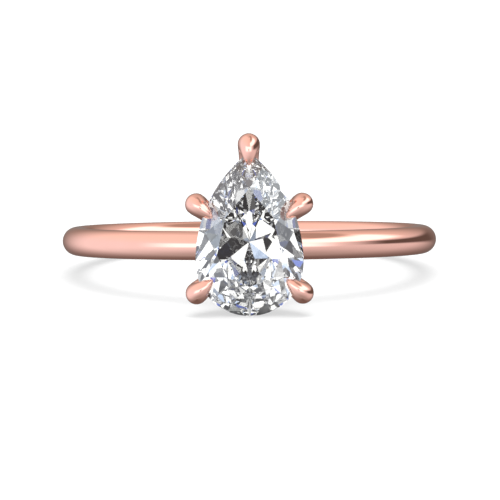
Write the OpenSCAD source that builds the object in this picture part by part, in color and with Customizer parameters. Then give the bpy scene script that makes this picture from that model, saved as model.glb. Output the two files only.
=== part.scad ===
/* [Band] */
// Inside diameter of the band, a common women's size
finger_d = 17.3; // [15.7:0.1:19.0]
// Radial thickness of the band
band_t = 1.4; // [1.38:0.01:1.5]
// Width of the band along the finger
band_w = 1.5; // [1.4:0.01:1.54]
// Rounding of the two inside edges of the band
inner_edge_r = 0.6; // [0.5:0.01:0.62]

/* [Stone] */
// Width of the pear
stone_w = 5.5; // [5.4:0.05:5.6]
// Length of the pear from its round end to its point
stone_l = 8.33; // [8.23:0.05:8.43]
// Height of the girdle over the outside of the band
girdle_rise = 3.35; // [3.3:0.01:3.5]
// Crown height over the girdle, as a share of the width
crown_share = 0.15; // [0.14:0.005:0.16]
// Pavilion depth under the girdle, as a share of the width
pavilion_share = 0.46; // [0.44:0.005:0.475]
// Size of the table, as a share of the stone's outline
table_share = 0.60; // [0.56:0.01:0.64]

/* [Head] */
// Half width of a prong at its shoulder
prong_r = 0.565; // [0.53:0.005:0.57]
// Half width of a prong at its foot
foot_r = 0.34; // [0.32:0.01:0.36]
// Distance of the four side prongs' shoulders from the middle of the head
side_reach = 3.52; // [3.48:0.01:3.56]
// Angle of the four side prongs from the line across the stone
side_angle = 40; // [39:0.5:41]
// Wire radius of the upper gallery rail
upper_rail_r = 0.32; // [0.29:0.01:0.33]
// Wire radius of the lower gallery rail
lower_rail_r = 0.27; // [0.24:0.01:0.29]
// Radius of the peg that holds the head in the band
peg_r = 0.45; // [0.4:0.01:0.5]

/* [Hidden] */
$fn = 96;

rose_gold = "#E3A58C";
icy_white = "#EAF2F7";

solder_gap = 0.01;    // clearance between pieces that are soldered together
far = 12;             // longer than the head in every direction
inner_r = finger_d / 2;
outer_r = inner_r + band_t;
half_w = band_w / 2;

// Head frame: X across the stone, Y towards its point, Z away from the finger
girdle_z = outer_r + girdle_rise;
girdle_t = 0.15;
head_r = stone_w / 2;
head_y = -0.68;                                             // centre of the pear's round end
point_y = head_y + stone_l - head_r;
wing_rise = stone_l - head_r;                               // from the round end's centre to the point
wing_r = (pow(wing_rise, 2) + pow(head_r, 2)) / (2 * head_r);
wing_x = wing_r - head_r;                                   // from the long axis to a wing arc's centre
point_a = asin(wing_rise / wing_r);                         // the wing arc ends here, at the point
table_z = stone_w * crown_share;
culet_z = -stone_w * pavilion_share;
culet = [0, 0.33, culet_z];
star_share = 0.5;                                           // height of the star facets' feet in the crown
lower_half_share = 0.4;                                     // height of the lower halves' tips over the culet
arc_steps = 6;                                              // outline points along each half facet
// Girdle corners of the right half: four equal steps round the end, then four up the wing
corner_u = concat([for (i = [0:3]) -90 + 22.5 * i], [for (i = [0:4]) point_a * i / 4]);

// Hub, a cone that stands on the band, and its peg
hub_h = 0.52;
hub_base_r = 0.62;
hub_top_r = 1.12;
peg_depth = 0.9;

// Prongs, in their own frame: X away from the middle of the head, Z away from the finger
foot_d = 0.8;
foot_h = outer_r + hub_h + solder_gap;
shoulder_drop = 0.32;         // end of the straight shaft under the girdle
claw_rise = 0.90;             // top of a claw over the girdle
claw_length = 1.08;           // from a prong's shoulder to its claw tip
shaft_steps = 6;
claw_steps = 11;
prong_sides = 22;
groove_sides = 22;
groove_fn = 72;

upper_rail_z = girdle_z - 1.32;
lower_rail_z = girdle_z - 2.2;
upper_rail_inset = 0.7;
lower_rail_inset = 1.45;

// ---- Stone ----

// A point of the outline's right half, from the round end (-90) to the point (point_a)
function right_outline(u) = u <= 0
    ? [head_r * cos(u), head_y + head_r * sin(u)]
    : [wing_r * cos(u) - wing_x, head_y + wing_r * sin(u)];
function corner_at(i) = corner_u[i <= 8 ? i : 16 - i];
// The outline at share f of the way from girdle corner i to the next, counterclockwise
function outline(i, f) =
    let (p = right_outline(corner_at(i) * (1 - f) + corner_at(i + 1) * f))
    i < 8 ? p : [-p.x, p.y];
function corner(i, z) =
    let (p = outline((i + 16) % 16, 0))
    [p.x, p.y, z];
// Outward direction of the outline at an even corner
function corner_dir(i) =
    let (u = corner_at(i), s = i <= 8 ? 1 : -1)
    i == 8 ? [0, 1] : [s * cos(u), sin(u)];
// A main facet's plane holds the outline's tangent at its corner and one inner point: n * p = d
function main_normal(k, z, inner) =
    let (c = corner(2 * k, z), o = corner_dir((2 * k) % 16))
    cross([-o.y, o.x, 0], inner - c);
// Where two neighbouring main facets meet at height z
function meet(k, z_girdle, inner_a, inner_b, z) =
    let (a = main_normal(k, z_girdle, inner_a),
         b = main_normal(k + 1, z_girdle, inner_b),
         da = a * inner_a - a.z * z,
         db = b * inner_b - b.z * z,
         det = a.x * b.y - a.y * b.x)
    [(da * b.y - db * a.y) / det, (a.x * db - b.x * da) / det, z];
// Height of the plane through three points, over p
function plane_z(a, b, c, p) =
    let (n = cross(b - a, c - a))
    a.z - (n.x * (p.x - a.x) + n.y * (p.y - a.y)) / n.z;
function table_corner(k) =
    let (c = corner(2 * k, 0))
    [c.x * table_share, culet.y + (c.y - culet.y) * table_share, table_z];

module stone_solid() {
    m = arc_steps;
    rim = 16 * m;
    g = girdle_t / 2;
    tables = [for (k = [0:7]) table_corner(k)];
    stars = [for (k = [0:7]) meet(k, g, tables[k], tables[(k + 1) % 8], table_z * star_share)];
    tips = [for (k = [0:7]) meet(k, -g, culet, culet, culet_z * (1 - lower_half_share))];
    top_rim = [for (i = [0:15], j = [0:m - 1])
        let (p = outline(i, j / m))
        [p.x, p.y, plane_z(corner(i, g), corner(i + 1, g), stars[floor(i / 2)], p)]];
    low_rim = [for (i = [0:15], j = [0:m - 1])
        let (p = outline(i, j / m))
        [p.x, p.y, plane_z(corner(i, -g), corner(i + 1, -g), tips[floor(i / 2)], p)]];
    star_0 = 2 * rim;
    table_0 = star_0 + 8;
    tip_0 = table_0 + 8;
    table_face = [[for (k = [7:-1:0]) table_0 + k]];
    star_faces = [for (k = [0:7]) [table_0 + k, table_0 + (k + 1) % 8, star_0 + k]];
    crown_mains = [for (k = [0:7])
        [table_0 + k, star_0 + k, 2 * k * m, star_0 + (k + 7) % 8]];
    upper_halves = [for (i = [0:15])
        [star_0 + floor(i / 2), for (j = [m:-1:0]) (i * m + j) % rim]];
    girdle = [for (j = [0:rim - 1]) [j, (j + 1) % rim, rim + (j + 1) % rim, rim + j]];
    lower_halves = [for (i = [0:15])
        [for (j = [0:m]) rim + (i * m + j) % rim, tip_0 + floor(i / 2)]];
    pavilion_mains = [for (k = [0:7])
        [tip_0 + (k + 7) % 8, rim + 2 * k * m, tip_0 + k, tip_0 + 8]];
    polyhedron(concat(top_rim, low_rim, stars, tables, tips, [culet]),
               concat(table_face, star_faces, crown_mains, upper_halves,
                      girdle, lower_halves, pavilion_mains));
}

module in_head_frame() {
    rotate([90, 0, 0]) children();
}

// ---- Prongs ----

function mix(a, b, t) = a * (1 - t) + b * t;
function bezier(a, b, c, t) = mix(mix(a, b, t), mix(b, c, t), t);
// One ring: [outer point, inner point, half width], the points in the prong's own X and Z
function shaft_ring(foot, knee, shoulder, t) =
    let (p = bezier(foot, knee, shoulder, t),
         v = mix(knee - foot, shoulder - knee, t),
         n = [v.y, -v.x] / norm(v),
         r = mix(foot_r, prong_r, t))
    [p + n * r, p - n * r, r];
function claw_ring(reach, tip_rise, t) =
    let (a = mix(-12, 180, t),
         base = girdle_z + (a < 90 ? 0.06 : tip_rise),
         run = a < 90 ? prong_r + 0.25 : claw_length - 0.25,
         outer = [reach - 0.25 + run * cos(a),
                  base + (girdle_z + claw_rise - base) * sin(a)],
         inner = mix([reach - 0.5, girdle_z - 0.12],
                     [reach - claw_length, girdle_z + tip_rise], t))
    [outer, inner, prong_r * (1 - pow(t, 1.5))];
function ring_points(ring) =
    let (m = (ring[0] + ring[1]) / 2, h = (ring[0] - ring[1]) / 2)
    [for (i = [0:prong_sides - 1])
        let (a = 360 * i / prong_sides, p = m + h * cos(a))
        [p.x, ring[2] * sin(a), p.y]];

// The length of wire between two rings
module wire_length(a, b) {
    n = prong_sides;
    hull()
        polyhedron(concat(ring_points(a), ring_points(b)),
                   [[for (i = [0:n - 1]) i], [for (i = [0:n - 1]) n + i]]);
}

module prong_body(reach, knee, tip_rise) {
    foot = [foot_d, foot_h];
    shoulder = [reach - 0.1, girdle_z - shoulder_drop];
    sole = [[foot_d + foot_r, foot_h], [foot_d - foot_r, foot_h], foot_r * 0.9];
    shaft = concat([sole], [for (i = [1:shaft_steps])
        shaft_ring(foot, knee, shoulder, i / shaft_steps)]);
    claw = [for (i = [1:claw_steps]) claw_ring(reach, tip_rise, i / claw_steps * 0.97)];
    rings = concat(shaft, claw);
    for (k = [0:len(rings) - 2])
        wire_length(rings[k], rings[k + 1]);
}

// A wire bent to the pear's outline, set inwards by inset
module rail_half(inset, wire_r, sides) {
    intersection() {
        union() {
            translate([0, head_y, 0])
                rotate([0, 0, -90])
                    rotate_extrude(angle = 90)
                        translate([head_r - inset, 0])
                            circle(r = wire_r, $fn = sides);
            translate([-wing_x, head_y, 0])
                rotate_extrude(angle = point_a)
                    translate([wing_r - inset, 0])
                        circle(r = wire_r, $fn = sides);
        }
        translate([0, -far, -far])
            cube([far, 2 * far, 2 * far]);
    }
}

module rail(inset, wire_r, sides) {
    rail_half(inset, wire_r, sides);
    mirror([1, 0, 0]) rail_half(inset, wire_r, sides);
}

module upper_rail_wire(grow, sides) {
    translate([0, 0, upper_rail_z])
        rail(upper_rail_inset, upper_rail_r + grow, sides);
}

module lower_rail_wire(grow, sides) {
    translate([0, 0, lower_rail_z])
        rail(lower_rail_inset, lower_rail_r + grow, sides);
}

// ---- Band ----

// The crown is only the outer half of its circle, which would otherwise bulge into the finger hole
module shank_solid(grow) {
    crown_x = outer_r - half_w;
    e = inner_edge_r;
    rotate_extrude()
        union() {
            intersection() {
                translate([crown_x, 0]) circle(r = half_w + grow);
                translate([crown_x, -far]) square([far, 2 * far]);
            }
            translate([inner_r + e - grow, -half_w - grow])
                square([band_t - half_w - e + grow, band_w + 2 * grow]);
            translate([inner_r - grow, -half_w + e])
                square([band_t - half_w, band_w - 2 * e]);
            for (s = [-1, 1])
                translate([inner_r + e, s * (half_w - e)]) circle(r = e + grow);
        }
}

// ---- Pieces ----

module shank() {
    color(rose_gold)
        difference() {
            shank_solid(0);
            in_head_frame()
                translate([0, 0, outer_r - peg_depth])
                    cylinder(r = peg_r + solder_gap, h = far);
        }
}

module hub() {
    translate([0, 0, outer_r - 0.4])
        cylinder(r = hub_base_r, h = 0.41);
    translate([0, 0, outer_r])
        cylinder(r1 = hub_base_r, r2 = hub_top_r, h = hub_h);
}

module hub_with_peg() {
    color(rose_gold)
        union() {
            difference() {
                in_head_frame() hub();
                shank_solid(solder_gap);
            }
            in_head_frame()
                translate([0, 0, outer_r - peg_depth + solder_gap])
                    cylinder(r = peg_r, h = peg_depth + 0.2);
        }
}

module lower_gallery_rail() {
    color(rose_gold) in_head_frame() lower_rail_wire(0, $fn);
}

module upper_gallery_rail() {
    color(rose_gold) in_head_frame() upper_rail_wire(0, $fn);
}

// A prong, notched for the girdle and grooved for the rails; its foot stands on the hub
module prong(angle, reach, knee, tip_rise) {
    color(rose_gold)
        in_head_frame()
            difference() {
                rotate([0, 0, angle]) prong_body(reach, knee, tip_rise);
                stone_at_girdle(1.004);
                upper_rail_wire(solder_gap, groove_sides, $fn = groove_fn);
                lower_rail_wire(solder_gap, groove_sides, $fn = groove_fn);
            }
}

module side_prong(angle) {
    prong(angle, side_reach, [2.75, girdle_z - 1.45], 0.47);
}

module prong_point() {
    prong(90, point_y + 0.4, [4.3, girdle_z - 1.75], 0.36);
}

module prong_shoulder_right() {
    side_prong(side_angle);
}

module prong_shoulder_left() {
    side_prong(180 - side_angle);
}

module prong_heel_left() {
    side_prong(180 + side_angle);
}

module prong_heel_right() {
    side_prong(-side_angle);
}

module stone_at_girdle(size) {
    translate([0, 0, girdle_z]) scale(size) stone_solid();
}

module pear_diamond() {
    color(icy_white) in_head_frame() stone_at_girdle(1);
}

shank();
hub_with_peg();
lower_gallery_rail();
upper_gallery_rail();
prong_point();
prong_shoulder_right();
prong_shoulder_left();
prong_heel_left();
prong_heel_right();
pear_diamond();
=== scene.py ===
from math import acos, asin, atan2, cos, degrees, pi, radians, sin

import bmesh
import bpy
from mathutils import Matrix, Vector


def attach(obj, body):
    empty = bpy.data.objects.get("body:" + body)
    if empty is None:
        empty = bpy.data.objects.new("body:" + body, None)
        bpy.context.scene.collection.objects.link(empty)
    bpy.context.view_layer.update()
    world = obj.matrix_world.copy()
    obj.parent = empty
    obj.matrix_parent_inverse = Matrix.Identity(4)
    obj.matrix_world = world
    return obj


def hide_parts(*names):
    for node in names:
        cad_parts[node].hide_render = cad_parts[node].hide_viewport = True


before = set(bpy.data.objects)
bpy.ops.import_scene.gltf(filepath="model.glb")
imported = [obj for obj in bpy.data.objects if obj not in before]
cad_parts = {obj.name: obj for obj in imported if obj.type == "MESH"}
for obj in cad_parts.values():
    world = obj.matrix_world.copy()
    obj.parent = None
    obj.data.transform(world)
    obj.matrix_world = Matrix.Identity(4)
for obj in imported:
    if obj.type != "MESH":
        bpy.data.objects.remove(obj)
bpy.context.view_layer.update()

MM = 0.001                   # one millimetre, in metres
SLIVER = 0.0005 * MM         # edges shorter than this are closed up after a cut
NEAR_AXIS = 0.0001           # a revolved profile comes this close to its axis, in mm; less than a sliver
SHARP = 40                   # edges of the metal pieces that turn by more than this many degrees stay sharp

# ------------------------------------------------------------------ sizes, in mm, as in part.scad
# the head's own frame: X across the stone, Y towards its point, Z away from the finger
FINGER_D, BAND_T, BAND_W, EDGE_R = 17.3, 1.4, 1.5, 0.6
INNER_R, OUTER_R, HALF_W = FINGER_D / 2, FINGER_D / 2 + BAND_T, BAND_W / 2
GAP = 0.01                                          # clearance between pieces that are soldered together
STONE_W, STONE_L = 5.5, 8.33
GIRDLE_Z, GIRDLE_T = OUTER_R + 3.35, 0.15
HEAD_R, HEAD_Y = STONE_W / 2, -0.68                 # the pear's round end, and its centre
WING_RISE = STONE_L - HEAD_R                        # from the round end's centre to the point
WING_R = (WING_RISE ** 2 + HEAD_R ** 2) / (2 * HEAD_R)
WING_X = WING_R - HEAD_R                            # from the long axis to a wing arc's centre
POINT_A = degrees(asin(WING_RISE / WING_R))         # the wing arc ends here, at the point
POINT_Y = HEAD_Y + WING_RISE
TABLE_Z, CULET_Z = STONE_W * 0.15, -STONE_W * 0.46
CULET = Vector((0, 0.33, CULET_Z))
TABLE_SHARE, STAR_SHARE, LOWER_HALF_SHARE = 0.60, 0.5, 0.4
# girdle corners of the right half: four equal steps round the end, then four up the wing
CORNER_U = [-90 + 22.5 * i for i in range(4)] + [POINT_A * i / 4 for i in range(5)]
CUT_SCALE = 1.004                                   # the stone's clearance in the prongs' notches
HUB_H, PEG_R, PEG_DEPTH = 0.52, 0.45, 0.9
UPPER_RAIL = (GIRDLE_Z - 1.32, 0.7, 0.32)           # height, inset from the stone's outline, wire radius
LOWER_RAIL = (GIRDLE_Z - 2.2, 1.45, 0.27)
PRONG_R, FOOT_R = 0.565, 0.34                       # half widths at the shoulder and at the foot
FOOT = Vector((0.8, OUTER_R + HUB_H + GAP))         # on a prong: distance from the head's middle, height
SHOULDER_DROP, CLAW_RISE, CLAW_LENGTH = 0.32, 0.90, 1.08
CLAW_MIDDLE = 0.25                                  # from a prong's reach in to the middle of its claw
CLAW_START, CLAW_BASE = -12, 0.06                   # the claw's first angle, its middle over the girdle's
SIDE_ANGLE = 40                                     # of the side prongs, from the line across the stone
SIDE_REACH, POINT_REACH = 3.52, POINT_Y + 0.4       # of a prong, from the head's middle
SIDE_KNEE = Vector((2.75, GIRDLE_Z - 1.45))         # where the shaft bends
POINT_KNEE = Vector((4.3, GIRDLE_Z - 1.75))
SIDE_TIP_RISE, POINT_TIP_RISE = 0.47, 0.36          # the claws' tips over the girdle's middle

# ------------------------------------------------------------------ view
DISTANCE, ELEVATION, ROLL = 237.0, 1.9, 0.35        # mm from the ring's centre, then degrees
PICTURE_W = 26.94                                   # width of the view at the ring's centre, in mm
AIM_X, AIM_Z = 0.03, 0.55                           # the view's centre, in mm right of and over the ring's

# ------------------------------------------------------------------ materials
GOLD_DEEP, GOLD_PALE = (0.925, 0.535, 0.43), (0.945, 0.555, 0.455)
GOLD_EDGE = (1.0, 0.9, 0.85)                        # the gold's tint at grazing angles
GOLD_ROUGH = 0.035, 0.075                           # the least and the most, over the polishing marks
DIAMOND_IOR, GIRDLE_ROUGH = 2.417, 0.18
FLOOR_TONE, FLOOR_GLOW = 0.2, 0.64                  # the glow keeps the paper pale and its shadow soft

# ------------------------------------------------------------------ studio
# azimuth 0 is the camera's side and grows to the right, elevation 0 is level with the ring, both in degrees
EVEN = (1.1, 1.1, 1.1)                              # what the camera and matt surfaces see
PAPER, COOL, WARM = (0.45, 0.45, 0.45), (1.0, 1.0, 1.07), (1.1, 0.97, 0.92)     # ground, walls, ceiling
DIM_LOW, DIM_HIGH = (0.20, 0.17, 0.16), (0.38, 0.33, 0.30)                      # the room behind the ring
BRIGHT_SIDE, SHADY_SIDE = (1.08, 1.1, 1.12), (0.85, 0.83, 0.82)                 # left and right of the room
# lights and dark places: azimuth from and to, elevation from and to, softness in each; colour
WINDOW = (-40, 30, -4, 12, 35, 12), (1.8, 1.95, 2.1)
SOFTBOX = (38, 105, 24, 40, 25, 12), (1.9, 2.0, 2.1)
DOORWAY = (95, 145, 1, 12, 35, 9), (0.13, 0.11, 0.10)
BEAM = (60, 150, 56, 66, 25, 9), (0.5, 0.43, 0.38)
SPOT, SPOT_TONE = 4.0, (0.25, 0.23, 0.23)           # a dark spot under the camera: radius, colour
PANELS, ARRANGEMENT = 3.5, 10.0                     # how fine the diamond's panels are, and which pattern
PANEL_TONES = [(0.0, (0.005, 0.005, 0.006)), (0.30, (0.10, 0.10, 0.10)), (0.42, (0.36, 0.37, 0.36)),
               (0.47, (0.10, 0.17, 0.70)), (0.53, (0.70, 0.85, 1.10)), (0.58, (1.55, 1.55, 1.50))]
BEHIND_STONE = (0.10, 0.11, 0.13)
LAMP_WIDTH, LAMP_POWER = 60, 5.5                    # the light over the ring: degrees across, strength


def cosd(a):
    return cos(radians(a))


def sind(a):
    return sin(radians(a))


def head(p):
    """Head frame (X across, Y to the stone's point, Z out) in mm to the ring's frame in metres."""
    return Vector((p[0], -p[2], p[1])) * MM


# ------------------------------------------------------------------ meshes
def new_object(name, verts, faces, smooth=True):
    """A mesh object in the scene, with its faces turned outwards."""
    mesh = bpy.data.meshes.new(name)
    mesh.from_pydata([tuple(v) for v in verts], [], faces)
    mesh.validate()
    bm = bmesh.new()
    bm.from_mesh(mesh)
    bmesh.ops.recalc_face_normals(bm, faces=bm.faces)
    bm.to_mesh(mesh)
    bm.free()
    mesh.polygons.foreach_set("use_smooth", [smooth] * len(mesh.polygons))
    obj = bpy.data.objects.new(name, mesh)
    bpy.context.scene.collection.objects.link(obj)
    return obj


def skin(rings, closed=False):
    """Faces over equal rings of points: a tube with two caps, or a closed loop."""
    n = len(rings[0])
    verts = [p for r in rings for p in r]
    count = len(rings)
    faces = []
    for k in range(count if closed else count - 1):
        a, b = k * n, ((k + 1) % count) * n
        faces += [(a + i, a + (i + 1) % n, b + (i + 1) % n, b + i) for i in range(n)]
    if not closed:
        faces += [tuple(range(n - 1, -1, -1)), tuple(range((count - 1) * n, count * n))]
    return verts, faces


def revolve(name, profile, steps, place):
    """A closed (r, z) profile turned about its z axis; place maps the point to metres."""
    rings = [[place((r * cos(2 * pi * k / steps), r * sin(2 * pi * k / steps), z)) for r, z in profile]
             for k in range(steps)]
    return new_object(name, *skin(rings, closed=True))


def arc(cx, cz, r, a0, a1, n):
    """n + 1 points of a circle's arc, angles in degrees."""
    return [(cx + r * cosd(a0 + (a1 - a0) * i / n), cz + r * sind(a0 + (a1 - a0) * i / n))
            for i in range(n + 1)]


def clear_slivers(bm):
    """Closes up the slivers that a cut leaves and takes out films, which are faces back to back."""
    for _ in range(3):                                  # closing one sliver can leave another
        bmesh.ops.triangulate(bm, faces=[f for f in bm.faces if len(f.verts) > 4])
        bmesh.ops.remove_doubles(bm, verts=bm.verts, dist=SLIVER)
        bmesh.ops.dissolve_degenerate(bm, edges=bm.edges, dist=SLIVER)
        sides = {}
        for f in bm.faces:
            sides.setdefault(frozenset(f.verts), []).append(f)
        films = [f for twins in sides.values() if len(twins) > 1 for f in twins]
        bmesh.ops.delete(bm, geom=films, context="FACES")


def apply_cuts(obj, cutters):
    """Cuts the cutters out of the piece."""
    for c in cutters:
        m = obj.modifiers.new("cut", "BOOLEAN")
        m.operation, m.solver, m.object = "DIFFERENCE", "MANIFOLD", c
    bpy.context.view_layer.update()
    dg = bpy.context.evaluated_depsgraph_get()
    done = bpy.data.meshes.new_from_object(obj.evaluated_get(dg))
    bm = bmesh.new()
    bm.from_mesh(done)
    clear_slivers(bm)
    bm.to_mesh(done)
    bm.free()
    obj.modifiers.clear()
    obj.data = done
    return obj


# ---- stone
def right_outline(u):
    """A point of the outline's right half, from the round end (-90) to the point (POINT_A)."""
    if u <= 0:
        return HEAD_R * cosd(u), HEAD_Y + HEAD_R * sind(u)
    return WING_R * cosd(u) - WING_X, HEAD_Y + WING_R * sind(u)


def corner_at(i):
    """The angle of girdle corner i; the left half mirrors the right."""
    return CORNER_U[i if i <= 8 else 16 - i]


def outline(i, f):
    """The outline at share f of the way from girdle corner i to the next, counterclockwise."""
    x, y = right_outline(corner_at(i) * (1 - f) + corner_at(i + 1) * f)
    return (x, y) if i < 8 else (-x, y)


def corner(i, z):
    x, y = outline(i % 16, 0)
    return Vector((x, y, z))


def main_normal(k, z, inner):
    """The normal of main facet k, which holds the outline's tangent at its corner and the point inner."""
    i = (2 * k) % 16
    u = corner_at(i)
    o = (0, 1) if i == 8 else ((1 if i <= 8 else -1) * cosd(u), sind(u))
    return Vector((-o[1], o[0], 0)).cross(inner - corner(i, z))


def meet(k, zg, inner_a, inner_b, z):
    """Where the main facets k and k + 1 cross at height z."""
    a, b = main_normal(k, zg, inner_a), main_normal(k + 1, zg, inner_b)
    da, db = a.dot(inner_a) - a.z * z, b.dot(inner_b) - b.z * z
    det = a.x * b.y - a.y * b.x
    return Vector(((da * b.y - db * a.y) / det, (a.x * db - b.x * da) / det, z))


def plane_z(a, b, c, p):
    """The height over p of the plane through a, b and c."""
    n = (b - a).cross(c - a)
    return a.z - (n.x * (p[0] - a.x) + n.y * (p[1] - a.y)) / n.z


def stone_mesh(size=1.0, m=10):
    """The pear brilliant's points and faces, with m steps of the girdle between facet corners."""
    g, rim = GIRDLE_T / 2, 16 * m
    tables = [Vector((corner(2 * k, 0).x * TABLE_SHARE,
                      CULET.y + (corner(2 * k, 0).y - CULET.y) * TABLE_SHARE, TABLE_Z)) for k in range(8)]
    stars = [meet(k, g, tables[k], tables[(k + 1) % 8], TABLE_Z * STAR_SHARE) for k in range(8)]
    tips = [meet(k, -g, CULET, CULET, CULET_Z * (1 - LOWER_HALF_SHARE)) for k in range(8)]
    top, low = [], []
    for i in range(16):
        for j in range(m):
            p = outline(i, j / m)
            top.append((*p, plane_z(corner(i, g), corner(i + 1, g), stars[i // 2], p)))
            low.append((*p, plane_z(corner(i, -g), corner(i + 1, -g), tips[i // 2], p)))
    star, table, tip = 2 * rim, 2 * rim + 8, 2 * rim + 16       # the first point of each kind
    faces = [[table + k for k in range(8)]]
    faces += [[table + k, table + (k + 1) % 8, star + k] for k in range(8)]
    faces += [[table + k, star + k, 2 * k * m, star + (k + 7) % 8] for k in range(8)]
    faces += [[star + i // 2] + [(i * m + j) % rim for j in range(m, -1, -1)] for i in range(16)]
    faces += [[j, (j + 1) % rim, rim + (j + 1) % rim, rim + j] for j in range(rim)]
    faces += [[rim + (i * m + j) % rim for j in range(m + 1)] + [tip + i // 2] for i in range(16)]
    faces += [[tip + (k + 7) % 8, rim + 2 * k * m, tip + k, tip + 8] for k in range(8)]
    points = top + low + stars + tables + tips + [CULET]
    return [head(Vector(p) * size + Vector((0, 0, GIRDLE_Z))) for p in points], faces


# ---- prongs
def lerp(a, b, t):
    return a * (1 - t) + b * t


def prong_rings(reach, knee, tip_rise, shaft_steps=30, claw_steps=44):
    """Outer point, inner point and half width of each ring, from the foot up the shaft and over the claw."""
    shoulder = Vector((reach - 0.1, GIRDLE_Z - SHOULDER_DROP))
    rings = [(FOOT + Vector((FOOT_R, 0)), FOOT - Vector((FOOT_R, 0)), FOOT_R * 0.9)]
    for i in range(1, shaft_steps + 1):
        t = i / shaft_steps
        p = lerp(lerp(FOOT, knee, t), lerp(knee, shoulder, t), t)
        v = lerp(knee - FOOT, shoulder - knee, t)
        n = Vector((v.y, -v.x)).normalized()
        r = lerp(FOOT_R, PRONG_R, t)
        if t > 0.12:                                    # rings nearer the foot would cross its sole
            rings.append((p + n * r, p - n * r, r))
    for i in range(1, claw_steps + 1):
        t = i / claw_steps * 0.985                      # the tip is blunt
        a = lerp(CLAW_START, 180, t)
        base = GIRDLE_Z + (CLAW_BASE if a < 90 else tip_rise)
        run = PRONG_R + CLAW_MIDDLE if a < 90 else CLAW_LENGTH - CLAW_MIDDLE
        outer = Vector((reach - CLAW_MIDDLE + run * cosd(a),
                        base + (GIRDLE_Z + CLAW_RISE - base) * sind(a)))
        inner = lerp(Vector((reach - 0.5, GIRDLE_Z - 0.12)),
                     Vector((reach - CLAW_LENGTH, GIRDLE_Z + tip_rise)), t)
        rings.append((outer, inner, PRONG_R * (1 - t ** 1.5)))
    return rings


def prong(name, angle, reach, knee, tip_rise, cutters, sides=48):
    """A prong that stands at the angle from the right, cut for the stone and the rails."""
    rings = []
    for outer, inner, w in prong_rings(reach, knee, tip_rise):
        m, h = (outer + inner) / 2, (outer - inner) / 2
        ring = []
        for i in range(sides):
            a = 360 * i / sides
            p = m + h * cosd(a)
            d, s = p.x, w * sind(a)
            ring.append(head((d * cosd(angle) - s * sind(angle), d * sind(angle) + s * cosd(angle), p.y)))
        rings.append(ring)
    obj = new_object(name, *skin(rings))
    return apply_cuts(obj, cutters)


# ---- gallery rails
def rail(name, height, inset, r, grow=0.0, steps=40, sides=32):
    """A wire that runs inside the stone's outline; grow adds to its radius, for a cutter."""
    r += grow
    last = degrees(acos(WING_X / (WING_R - inset)))     # the angle where the wire meets the plane X = 0
    path = [(-90 + 90 * i / steps, HEAD_R, 0.0) for i in range(steps + 1)]
    path += [(last * i / (steps * 2), WING_R, WING_X) for i in range(1, steps * 2 + 1)]
    rings = []
    for k, (u, bend_r, shift) in enumerate(path):
        x, y = (bend_r - inset) * cosd(u) - shift, HEAD_Y + (bend_r - inset) * sind(u)
        ring = []
        for i in range(sides):
            a = 2 * pi * i / sides
            out, z = r * cos(a), height + r * sin(a)
            if k == len(path) - 1:                      # the last ring is a mitre in the plane X = 0
                ring.append((0.0, y + out / sind(u), z))
            else:
                ring.append((x + out * cosd(u), y + out * sind(u), z))
        rings.append(ring)
    left = [[(-x, y, z) for x, y, z in ring] for ring in rings[1:-1]][::-1]
    return new_object(name, *skin([[head(p) for p in ring] for ring in rings + left], closed=True))


# ------------------------------------------------------------------ node helpers
class Nodes:
    """Short ways to add nodes to one node tree."""

    def __init__(self, tree):
        self.tree = tree
        tree.nodes.clear()

    def add(self, kind, inputs=None, **props):
        n = self.tree.nodes.new(kind)
        for k, v in props.items():
            setattr(n, k, v)
        for k, v in (inputs or {}).items():
            self.put(n.inputs[k], v)
        return n

    def put(self, socket, value):
        if isinstance(value, bpy.types.NodeSocket):
            self.tree.links.new(value, socket)
        else:
            socket.default_value = value

    def math(self, op, a, b=0.0):
        return self.add("ShaderNodeMath", {0: a, 1: b}, operation=op).outputs[0]

    def step(self, value, lo, hi, out_lo=0.0, out_hi=1.0):
        """A smooth step from out_lo to out_hi as value goes from lo to hi."""
        return self.add("ShaderNodeMapRange",
                        {"Value": value, "From Min": lo, "From Max": hi, "To Min": out_lo, "To Max": out_hi},
                        interpolation_type="SMOOTHSTEP").outputs[0]

    def mix(self, fac, a, b, blend="MIX"):
        n = self.add("ShaderNodeMix", data_type="RGBA", blend_type=blend)
        self.put(n.inputs["Factor"], fac)
        self.put(n.inputs[6], a)
        self.put(n.inputs[7], b)
        return n.outputs[2]

    def tones(self, fac, stops):
        """Plain tones that change abruptly at their stops."""
        n = self.add("ShaderNodeValToRGB", {"Fac": fac})
        n.color_ramp.interpolation = "CONSTANT"
        els = n.color_ramp.elements
        while len(els) < len(stops):
            els.new(0.5)
        for e, (pos, col) in zip(els, stops):
            e.position, e.color = pos, (*col, 1.0)
        return n.outputs["Color"]


def material(name):
    """A new material and the helper for its nodes."""
    m = bpy.data.materials.new(name)
    m.use_nodes = True
    return m, Nodes(m.node_tree)


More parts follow.
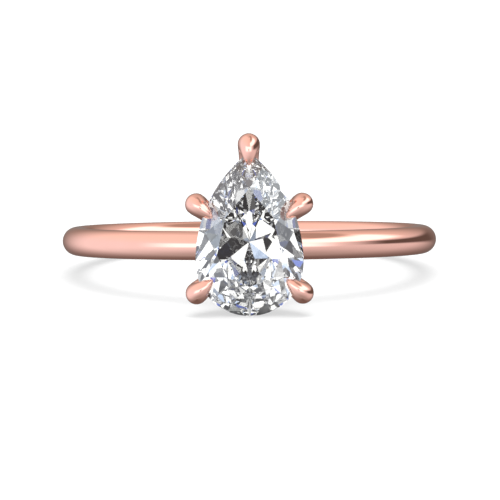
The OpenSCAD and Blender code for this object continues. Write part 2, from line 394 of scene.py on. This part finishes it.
def rose_gold_material():
    """Polished gold with faint clouds in its colour and fine polishing marks."""
    m, n = material("rose_gold")
    coords = n.add("ShaderNodeTexCoord").outputs["Object"]
    clouds = n.add("ShaderNodeTexNoise", {"Vector": coords, "Scale": 900.0, "Detail": 3.0, "Roughness": 0.5})
    polish = n.add("ShaderNodeTexNoise", {"Vector": coords, "Scale": 9000.0, "Detail": 4.0, "Roughness": 0.6})
    colour = n.mix(clouds.outputs["Fac"], (*GOLD_DEEP, 1), (*GOLD_PALE, 1))
    rough = n.add("ShaderNodeMapRange", {"Value": polish.outputs["Fac"], "From Min": 0.3, "From Max": 0.7,
                                         "To Min": GOLD_ROUGH[0], "To Max": GOLD_ROUGH[1]}).outputs[0]
    bump = n.add("ShaderNodeBump", {"Height": polish.outputs["Fac"], "Strength": 0.02, "Distance": 0.00001})
    shader = n.add("ShaderNodeBsdfPrincipled",
                   {"Base Color": colour, "Metallic": 1.0, "Roughness": rough,
                    "Specular Tint": (*GOLD_EDGE, 1), "Normal": bump.outputs[0]})
    n.add("ShaderNodeOutputMaterial", {"Surface": shader.outputs[0]})
    return m


def diamond_material():
    """Clear and polished, with a frosted girdle, whose faces look sideways."""
    m, n = material("diamond")
    facing = n.add("ShaderNodeSeparateXYZ",
                   {0: n.add("ShaderNodeNewGeometry").outputs["True Normal"]}).outputs["Y"]
    girdle = n.math("LESS_THAN", n.math("ABSOLUTE", facing), 0.08)
    shader = n.add("ShaderNodeBsdfPrincipled",
                   {"Base Color": (1, 1, 1, 1), "Roughness": n.math("MULTIPLY", girdle, GIRDLE_ROUGH),
                    "IOR": DIAMOND_IOR, "Transmission Weight": 1.0})
    n.add("ShaderNodeOutputMaterial", {"Surface": shader.outputs[0]})
    return m


def floor_material():
    """Pale paper that takes a soft shadow; neither the gold nor the diamond mirrors it."""
    m, n = material("studio_floor")
    path = n.add("ShaderNodeLightPath")
    diffuse = n.add("ShaderNodeBsdfDiffuse", {"Color": (*[FLOOR_TONE] * 3, 1)})
    glow = n.add("ShaderNodeEmission", {"Color": (1, 1, 1, 1), "Strength": FLOOR_GLOW})
    pale = n.add("ShaderNodeAddShader", {0: diffuse.outputs[0], 1: glow.outputs[0]})
    clear = n.add("ShaderNodeBsdfTransparent")
    unseen = n.math("MAXIMUM", path.outputs["Is Glossy Ray"], path.outputs["Is Transmission Ray"])
    both = n.add("ShaderNodeMixShader", {0: unseen, 1: pale.outputs[0], 2: clear.outputs[0]})
    n.add("ShaderNodeOutputMaterial", {"Surface": both.outputs[0]})
    return m


# ------------------------------------------------------------------ world: a pale studio
def patch(n, az, el, az0, az1, el0, el1, soft_az, soft_el):
    """1 inside the azimuth and elevation box, in degrees, with soft edges outside it."""
    a = n.math("MULTIPLY", n.step(az, az0 - soft_az, az0), n.step(az, az1, az1 + soft_az, 1.0, 0.0))
    b = n.math("MULTIPLY", n.step(el, el0 - soft_el, el0), n.step(el, el1, el1 + soft_el, 1.0, 0.0))
    return n.math("MULTIPLY", a, b)


def gold_studio(n, az, el, x):
    """What the polished gold mirrors: a pale room with two bright lights and a darker far side."""
    light = n.mix(n.step(el, -75, -8), (*PAPER, 1), (*COOL, 1))
    light = n.mix(n.step(el, 5, 50), light, (*WARM, 1))
    # the room behind the ring starts nearer the camera low down than high up, and fades towards the ceiling
    side = n.math("ABSOLUTE", az)
    far = n.math("MULTIPLY", n.step(side, n.step(el, -60, 0, 80, 118), 170), n.step(el, 15, 50, 1.0, 0.4))
    light = n.mix(far, light, n.mix(n.step(el, -20, 30), (*DIM_LOW, 1), (*DIM_HIGH, 1)))
    light = n.mix(1.0, light, n.mix(n.step(x, -0.9, 0.95), (*BRIGHT_SIDE, 1), (*SHADY_SIDE, 1)), "MULTIPLY")
    # a window at the front, a doorway low at the right, and a softbox and a beam that arch over the right
    arch = n.math("SUBTRACT", el, n.step(az, 40, 130, 0.0, 8.0))
    for (box, tone), up in ((WINDOW, el), (SOFTBOX, arch), (DOORWAY, el), (BEAM, arch)):
        light = n.mix(patch(n, az, up, *box), light, (*tone, 1))
    # the dark spot lies as far under level as the camera is over it, so the stone's table mirrors it
    el_off = n.math("ADD", el, ELEVATION)
    off = n.math("SQRT", n.math("ADD", n.math("MULTIPLY", az, az), n.math("MULTIPLY", el_off, el_off)))
    return n.mix(n.step(off, SPOT, SPOT * 2.5, 1.0, 0.0), light, (*SPOT_TONE, 1))


def diamond_studio(n, direction, az):
    """What the diamond sees through its facets: panels and gaps all round, dimmer behind the ring."""
    cells = n.add("ShaderNodeTexVoronoi", {"Vector": direction, "Scale": PANELS, "W": ARRANGEMENT,
                                           "Randomness": 1.0}, voronoi_dimensions="4D")
    pick = n.add("ShaderNodeSeparateColor", {0: cells.outputs["Color"]}).outputs[0]
    dim = n.step(n.math("ABSOLUTE", az), 115, 150, 0.0, 0.65)
    return n.mix(dim, n.tones(pick, PANEL_TONES), (*BEHIND_STONE, 1))


def make_world():
    """Camera and matt surfaces see an even white; gold and diamond each see a room of their own."""
    world = bpy.data.worlds.new("studio")
    bpy.context.scene.world = world
    world.use_nodes = True
    n = Nodes(world.node_tree)
    direction = n.add("ShaderNodeTexCoord").outputs["Generated"]
    x, y, z = n.add("ShaderNodeSeparateXYZ", {0: direction}).outputs
    el = n.math("DEGREES", n.math("ARCSINE", z))
    az = n.math("DEGREES", n.math("ARCTAN2", x, n.math("MULTIPLY", y, -1.0)))
    path = n.add("ShaderNodeLightPath")
    gold_room, diamond_room = gold_studio(n, az, el, x), diamond_studio(n, direction, az)
    seen = n.mix(path.outputs["Is Transmission Ray"], gold_room, diamond_room)
    even = n.math("MAXIMUM", path.outputs["Is Camera Ray"], path.outputs["Is Diffuse Ray"])
    seen = n.mix(even, seen, (*EVEN, 1))
    n.add("ShaderNodeOutputWorld",
          {"Surface": n.add("ShaderNodeBackground", {"Color": seen, "Strength": 1.0}).outputs[0]})


# ------------------------------------------------------------------ build
gold, diamond = rose_gold_material(), diamond_material()

# the band's section: a half circle outside, and two rounded edges inside
profile = (arc(OUTER_R - HALF_W, 0, HALF_W, -90, 90, 64)
           + arc(INNER_R + EDGE_R, HALF_W - EDGE_R, EDGE_R, 90, 180, 16)
           + arc(INNER_R + EDGE_R, EDGE_R - HALF_W, EDGE_R, 180, 270, 16))
shank = revolve("fine_shank", profile, 360, lambda p: Vector(p) * MM)
hole_foot, hole_top = OUTER_R - PEG_DEPTH, OUTER_R + 3        # the cutter stands well out of the band
peg_hole = revolve("peg_hole", [(NEAR_AXIS, hole_foot), (PEG_R + GAP, hole_foot), (PEG_R + GAP, hole_top),
                                (NEAR_AXIS, hole_top)], 64, head)
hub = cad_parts["hub_with_peg"]
upper = rail("fine_upper_gallery_rail", *UPPER_RAIL)
lower = rail("fine_lower_gallery_rail", *LOWER_RAIL)
cutters = [new_object("stone_cut", *stone_mesh(CUT_SCALE), smooth=False),
           rail("upper_cut", *UPPER_RAIL, grow=GAP), rail("lower_cut", *LOWER_RAIL, grow=GAP)]
prongs = {"prong_point": prong("fine_prong_point", 90, POINT_REACH, POINT_KNEE, POINT_TIP_RISE, cutters)}
for node, angle in (("prong_shoulder_right", SIDE_ANGLE), ("prong_shoulder_left", 180 - SIDE_ANGLE),
                    ("prong_heel_left", 180 + SIDE_ANGLE), ("prong_heel_right", -SIDE_ANGLE)):
    prongs[node] = prong("fine_" + node, angle, SIDE_REACH, SIDE_KNEE, SIDE_TIP_RISE, cutters)
apply_cuts(shank, [peg_hole])
for c in cutters + [peg_hole]:
    bpy.data.objects.remove(c)
stone = new_object("fine_pear_diamond", *stone_mesh(), smooth=False)

pieces = {"shank": shank, "upper_gallery_rail": upper, "lower_gallery_rail": lower, **prongs,
          "pear_diamond": stone}
for node, piece in pieces.items():
    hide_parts(node)
    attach(piece, "root")
    piece.data.materials.clear()
    piece.data.materials.append(diamond if node == "pear_diamond" else gold)
    if node != "pear_diamond":
        piece.data.set_sharp_from_angle(angle=radians(SHARP))
hub.data.materials.clear()
hub.data.materials.append(gold)
# the diamond's facets show its room and not the metal behind it, and the claws don't mirror the band
for piece in (shank, upper, lower, hub, *prongs.values()):
    piece.visible_transmission = False
shank.visible_glossy = False


# ------------------------------------------------------------------ floor
def floor_plane():
    """The slope in Y, and the height at the origin, of the plane that the ring lies on: it touches the head
    in front and the band at the back."""
    pts = [(v.co.y, v.co.z) for o in (shank, stone, *prongs.values()) for v in o.data.vertices]
    lo, hi = 0.0, 0.5
    for _ in range(40):
        t = (lo + hi) / 2
        front = min(z - y * t for y, z in pts if y < 0)
        back = min(z - y * t for y, z in pts if y >= 0)
        lo, hi = (t, hi) if front < back else (lo, t)
    return t, min(z - y * t for y, z in pts)


slope, height = floor_plane()
half = 3.0                                          # half the floor's width, in metres
corners = ((-half, -half), (half, -half), (half, half), (-half, half))
floor = new_object("studio_floor", [(x, y, height + slope * y) for x, y in corners], [(0, 1, 2, 3)],
                   smooth=False)
floor.data.materials.append(floor_material())
make_world()

# a wide soft light over the ring, for the shadow on the floor
up = Vector((0, -slope, 1)).normalized()
lamp = bpy.data.lights.new("overhead", "SUN")
lamp.angle, lamp.energy = radians(LAMP_WIDTH), LAMP_POWER
overhead = bpy.data.objects.new("overhead", lamp)
overhead.rotation_mode = "QUATERNION"
overhead.rotation_quaternion = up.to_track_quat("Z", "Y")
overhead.visible_glossy = False
overhead.visible_transmission = False
bpy.context.scene.collection.objects.link(overhead)

# ------------------------------------------------------------------ camera
cam = bpy.data.cameras.new("camera")
cam.sensor_width, cam.lens = 36.0, 36.0 * DISTANCE / PICTURE_W
cam.clip_start, cam.clip_end = 0.01, 10.0
camera = bpy.data.objects.new("camera", cam)
back = Vector((0, -cosd(ELEVATION), sind(ELEVATION)))
camera.location = back * DISTANCE * MM
pitch, yaw = atan2(AIM_Z, DISTANCE), atan2(AIM_X, DISTANCE)
turn = (back.to_track_quat("Z", "Y").to_matrix().to_4x4() @ Matrix.Rotation(yaw, 4, "Y").inverted()
        @ Matrix.Rotation(-pitch, 4, "X") @ Matrix.Rotation(-radians(ROLL), 4, "Z"))
camera.rotation_mode = "QUATERNION"
camera.rotation_quaternion = turn.to_quaternion()
bpy.context.scene.collection.objects.link(camera)
bpy.context.scene.camera = camera

scene = bpy.context.scene
scene.view_settings.view_transform = "Standard"
scene.view_settings.look = "None"
scene.cycles.max_bounces = 32
scene.cycles.transmission_bounces = 32
scene.cycles.glossy_bounces = 12                    # a longer path inside the diamond ends dark
scene.cycles.transparent_max_bounces = 16
scene.cycles.use_denoising = True
scene.cycles.caustics_reflective = False
scene.cycles.caustics_refractive = False
